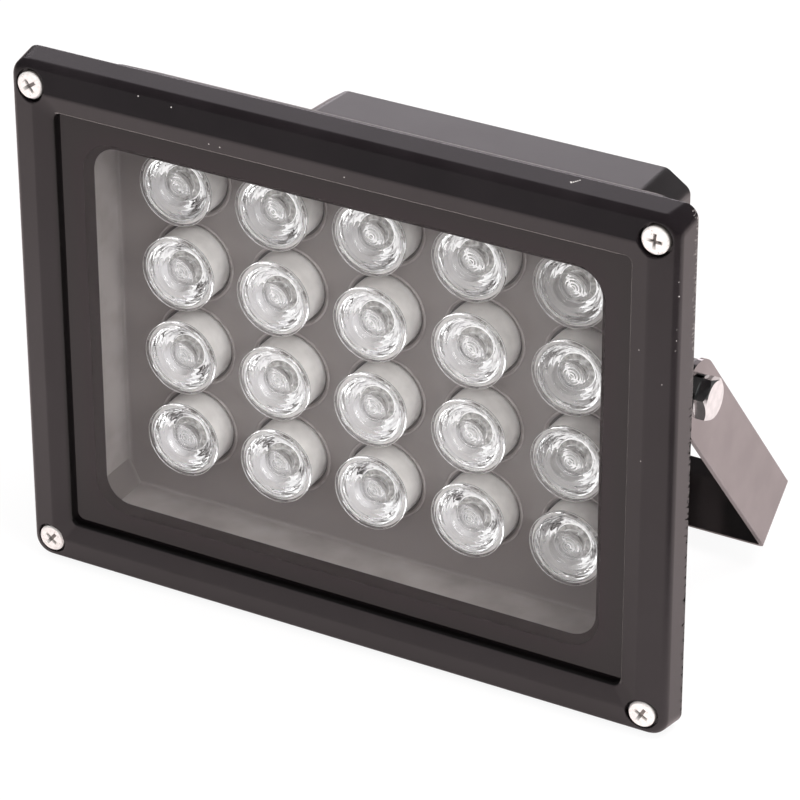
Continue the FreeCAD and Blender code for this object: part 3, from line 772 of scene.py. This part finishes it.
def makeCamera(values):
    # a plain camera at the photo's angle
    bpy.ops.object.camera_add()
    camera = bpy.context.object
    camera.name = "view_camera"
    turn = Euler((math.radians(90 - values["elevation"]), 0, math.radians(values["azimuth"]))).to_matrix()
    turn = turn @ Matrix.Rotation(math.radians(values["roll"]), 3, "Z")
    camera.location = lampPlace(*values["target"]) + turn @ Vector((0, 0, values["distance"]))
    camera.rotation_euler = turn.to_euler()
    camera.data.lens = values["focal"]
    camera.data.sensor_width = values["sensor"]
    camera.data.clip_end = values["farEnd"]
    bpy.context.scene.camera = camera


def rayKinds(tree):
    # whether a ray belongs to a reflection, and whether the camera sends it, straight or through glass
    path = addNode(tree, "LightPath").outputs
    seen = addNode(tree, "Math", {0: path["Is Camera Ray"], 1: path["Is Transmission Ray"]}, operation="ADD",
                   use_clamp=True)
    return path["Is Glossy Ray"], seen


worldValues = {
    "light": 0.8,
    "mirrored": 0.1,  # the unlit room above the floor, as reflections show it
}


def makeWorld(values):
    # white to the camera, and a soft light from all round
    world = bpy.data.worlds.new("studio")
    bpy.context.scene.world = world
    world.use_nodes = True
    tree = world.node_tree
    glossy, seen = rayKinds(tree)
    mirrored = addNode(tree, "MapRange", {"Value": glossy, "To Min": values["light"],
                                          "To Max": values["mirrored"]})
    level = addNode(tree, "Mix", {"Factor": seen, "A": mirrored, "B": 1.0}, data_type="FLOAT")
    background = tree.nodes["Background"]
    background.inputs["Color"].default_value = srgb("#ffffff")
    tree.links.new(level.outputs["Result"], background.inputs["Strength"])


floorValues = {
    "size": 12.0,                  # metres
    "gap": 0.5,                    # mm under the lamp
    "paper": "#f2eded",
    "paperTint": "#fff0ef",        # the paper as reflections show it
    "mirroredShare": (0.58, 0.2),  # how bright it is there, near the lamp and far from it
    "mirroredReach": (0.25, 1.0),  # metres
    "rightShade": (0.10, 0.17),    # metres to the right, where the mirrored paper darkens and is darkest
    "aheadShade": (20, -30),       # mm behind the frame's face, the same from back to front
    "deepestShade": 0.65,
    "whiteShare": (0.9, 1.0),      # how far the camera sees plain white, near the lamp and far from it
    "whiteReach": (0.35, 1.0),     # metres
}


def makeFloor(values):
    # studio paper: matt and nearly white, plain white to the camera, with the lamp's shadow left on it
    bpy.ops.object.select_all(action="DESELECT")
    bpy.ops.mesh.primitive_plane_add(size=values["size"], location=(0, 0, cadBox[0].z - values["gap"] * mm))
    floor = bpy.context.object
    floor.name = "studio_floor"
    material, tree, shader, place = newMaterial("studio_paper", values["paper"], 0.9,
                                                {"Specular IOR Level": 0.0})
    glossy, seen = rayKinds(tree)
    away = addNode(tree, "VectorMath", {0: place}, operation="LENGTH").outputs["Value"]
    split = addNode(tree, "SeparateXYZ", {"Vector": place}).outputs
    start, full = values["rightShade"]
    right = addNode(tree, "MapRange", {"Value": split["X"], "From Min": start, "From Max": full,
                                       "To Max": values["deepestShade"]})
    start, full = (lampPlace(0, depth, 0).y for depth in values["aheadShade"])
    shade = addNode(tree, "MapRange", {"Value": split["Y"], "From Min": start, "From Max": full,
                                       "To Max": right})
    near, far = values["mirroredReach"]
    share = addNode(tree, "MapRange", {"Value": away, "From Min": near, "From Max": far,
                                       "To Min": values["mirroredShare"][0],
                                       "To Max": values["mirroredShare"][1]})
    share = addNode(tree, "MapRange", {"Value": shade, "To Min": share, "To Max": 0.0})
    mirrored = addNode(tree, "Mix", {"Factor": share, mixFirst: srgb("#000000"),
                                     mixSecond: srgb(values["paperTint"])}, data_type="RGBA")
    layColour(tree, shader, srgb(values["paper"]), glossy, mirrored.outputs[mixResult])
    near, far = values["whiteReach"]
    plain = addNode(tree, "MapRange", {"Value": away, "From Min": near, "From Max": far,
                                       "To Min": values["whiteShare"][0], "To Max": values["whiteShare"][1]})
    white = addNode(tree, "Math", {0: seen, 1: plain}, operation="MULTIPLY")
    glow = addNode(tree, "Emission", {"Color": srgb("#ffffff"), "Strength": 1.0})
    mix = addNode(tree, "MixShader", {"Fac": white, 1: shader, 2: glow})
    tree.links.new(mix.outputs["Shader"], tree.nodes["Material Output"].inputs["Surface"])
    floor.data.materials.append(material)


lampValues = {
    "aimDepth": 30,  # mm behind the frame's face, where the lamps aim
    "lamps": [       # name, azimuth, elevation, metres away, width, height, watts, colour, mirrored
        ("top_softbox", 90, 70, 1.1, 0.6, 0.6, 12, "#ffffff", False),
        ("front_softbox", 22, 42, 1.2, 0.4, 0.4, 2.4, "#ffffff", False),
        ("left_softbox", -78, 30, 1.2, 0.6, 0.6, 3, "#ffffff", False),
        ("right_softbox", 66, 22, 1.3, 0.6, 0.6, 8, "#ffffff", False),
        ("front_card", -26, 4, 1.5, 1.2, 0.16, 0.16, "#ffffff", True),
        ("rear_card", 218, 34, 1.2, 0.8, 0.5, 0.86, "#fff6fc", True),
        ("rear_softbox", 209, 10, 1.2, 0.8, 0.3, 2.2, "#fff6fc", True)],
}


def makeLamps(values):
    # soft studio lamps, none of them seen by the camera, and only some of them in reflections
    centre = lampPlace(0, values["aimDepth"], 0)
    for name, azimuth, elevation, distance, width, height, watts, colour, mirrored in values["lamps"]:
        around, up = math.radians(azimuth), math.radians(elevation)
        back = Vector((math.sin(around) * math.cos(up), -math.cos(around) * math.cos(up), math.sin(up)))
        bpy.ops.object.light_add(type="AREA", location=centre + back * distance)
        lamp = bpy.context.object
        lamp.name = name
        lamp.rotation_euler = back.to_track_quat("Z", "Y").to_euler()
        lamp.data.shape = "RECTANGLE"
        lamp.data.size, lamp.data.size_y = width, height
        lamp.data.energy, lamp.data.color = watts, srgb(colour)[:3]
        lamp.visible_camera = False
        lamp.visible_glossy = mirrored


makeWorld(worldValues)
makeFloor(floorValues)
makeLamps(lampValues)
makeCamera(cameraValues)
bpy.context.scene.view_settings.view_transform = "Standard"
print("camera, floor and lamps placed")
